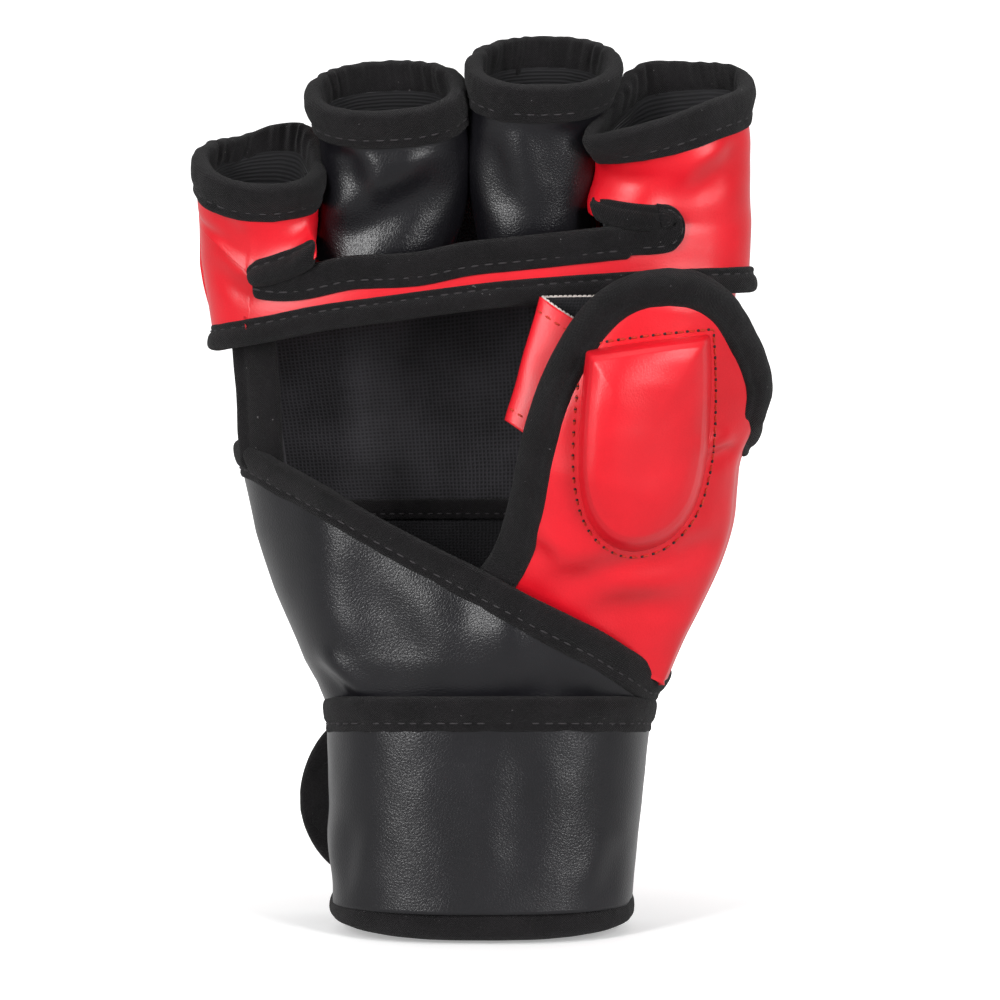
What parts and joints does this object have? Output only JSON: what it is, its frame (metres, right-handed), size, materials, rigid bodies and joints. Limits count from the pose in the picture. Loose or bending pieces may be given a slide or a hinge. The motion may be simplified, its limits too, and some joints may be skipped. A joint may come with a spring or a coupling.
{
  "type": "mma glove",
  "caption": "Open-palm grappling glove with padded knuckles, bound finger sleeves, a padded thumb shield with a keeper loop, and a wrap-round wrist strap.",
  "frame": {"origin": "centre of the wrist opening, on the flat lower edge of the hem", "axes": "+Z from the wrist to the fingers, -Y the way the palm faces, +X the thumb side"},
  "size_m": [0.1438, 0.0931, 0.2224],
  "materials": {
    "red_leather": "satin",
    "black_leather": "satin",
    "knit_tape": "matte",
    "mesh_lining": "matte",
    "foam": "matte",
    "loop_pile": "matte",
    "hook_plastic": "matte",
    "thread": "matte"
  },
  "bodies": {
    "hand": {"cuff_lining": "mesh_lining", "cuff_cover": "black_leather", "wrist_hem": "knit_tape", "loop_patch": "loop_pile", "strap_front": "black_leather", "strap_top_tape": "knit_tape", "back_lining": "mesh_lining", "lining_seam": "knit_tape", "knuckle_foam": "foam", "back_cover": "red_leather", "wrist_back_cover": "black_leather", "heel_flap_lining": "mesh_lining", "heel_flap": "black_leather", "heel_flap_tape": "knit_tape", "palm_edge_tape": "knit_tape", "palm_band": "red_leather", "palm_band_lining": "mesh_lining", "band_top_tape": "knit_tape", "band_lower_tape": "knit_tape", "thumb_gusset": "red_leather"},
    "thumb": {"thumb_shield": "red_leather", "thumb_lining": "mesh_lining", "thumb_edge_tape": "knit_tape", "thumb_pad_cover": "red_leather", "thumb_pad_foam": "foam", "thumb_pad_stitches": "thread", "thumb_loop": "red_leather", "thumb_loop_lining": "mesh_lining"},
    "strap_tail": {"strap_tail": "black_leather", "hook_patch": "hook_plastic"},
    "pinky_sleeve": {"pinky_lining": "mesh_lining", "pinky_foam": "foam", "pinky_palm_panel": "red_leather", "pinky_back_panel": "red_leather", "pinky_rim_tape": "knit_tape"},
    "ring_sleeve": {"ring_lining": "mesh_lining", "ring_foam": "foam", "ring_palm_panel": "black_leather", "ring_back_panel": "red_leather", "ring_rim_tape": "knit_tape"},
    "middle_sleeve": {"middle_lining": "mesh_lining", "middle_foam": "foam", "middle_palm_panel": "black_leather", "middle_back_panel": "red_leather", "middle_rim_tape": "knit_tape"},
    "index_sleeve": {"index_lining": "mesh_lining", "index_foam": "foam", "index_palm_panel": "red_leather", "index_back_panel": "red_leather", "index_rim_tape": "knit_tape"}
  },
  "joints": [
    {"name": "thumb_open", "type": "hinge", "parent": "hand", "child": "thumb", "pos_m": [0.046, -0.006, 0.07], "axis": [0.355, 0, 0.9349], "range_deg": [0, 32]},
    {"name": "strap_peel", "type": "hinge", "parent": "hand", "child": "strap_tail", "pos_m": [0.0426, 0.002, 0.033], "axis": [-0.0995, 0, -0.995], "range_deg": [0, 98]},
    {"name": "pinky_curl", "type": "hinge", "parent": "hand", "child": "pinky_sleeve", "pos_m": [-0.0575, -0.013, 0.1615], "axis": [1, 0, 0], "range_deg": [-10, 27]},
    {"name": "ring_curl", "type": "hinge", "parent": "hand", "child": "ring_sleeve", "pos_m": [-0.023, -0.013, 0.166], "axis": [1, 0, 0], "range_deg": [-10, 40]},
    {"name": "middle_curl", "type": "hinge", "parent": "hand", "child": "middle_sleeve", "pos_m": [0.0135, -0.013, 0.17075], "axis": [1, 0, 0], "range_deg": [-10, 40]},
    {"name": "index_curl", "type": "hinge", "parent": "hand", "child": "index_sleeve", "pos_m": [0.0495, -0.013, 0.1754], "axis": [1, 0, 0], "range_deg": [-10, 32]}
  ]
}
